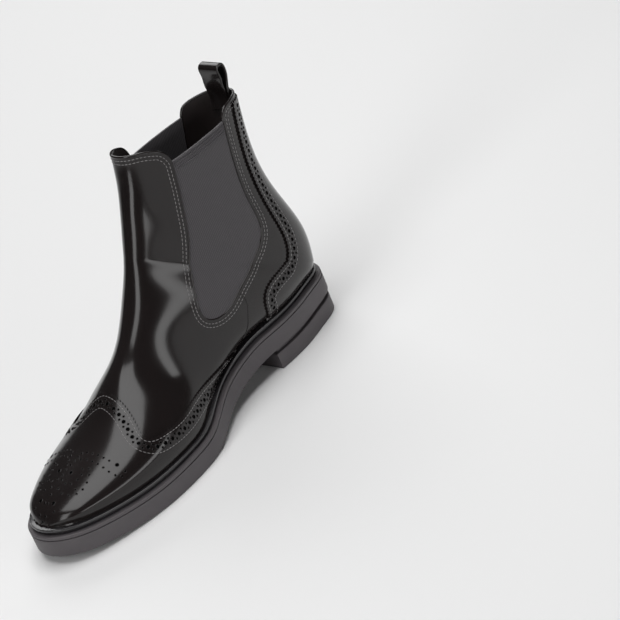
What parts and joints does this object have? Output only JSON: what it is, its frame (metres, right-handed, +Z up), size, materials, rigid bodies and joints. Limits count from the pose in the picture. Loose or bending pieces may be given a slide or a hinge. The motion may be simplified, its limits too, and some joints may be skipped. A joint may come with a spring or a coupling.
{
  "type": "chelsea boot",
  "caption": "Ankle-high leather slip-on boot for the right foot, with elastic side panels, a wing-shaped toe cap, a lugged rubber sole and a low heel.",
  "frame": {"origin": "on the floor, under the middle of the sole's length and width, the boot standing on its heel and the ball of its sole", "axes": "+X to the toe, +Y to the wearer's left (the medial side of this right boot), +Z up"},
  "size_m": [0.285, 0.099, 0.1916],
  "materials": {
    "leather": "glossy",
    "elastic": "woven",
    "rubber": "matte",
    "welt": "satin",
    "lining": "matte"
  },
  "bodies": {
    "root": {"upper": "leather", "toe_cap": "leather", "heel_counter": "leather", "pull_loop": "leather", "gore_medial": "elastic", "gore_lateral": "elastic", "welt": "welt", "insole": "lining", "outsole": "rubber", "heel": "rubber"}
  },
  "joints": []
}
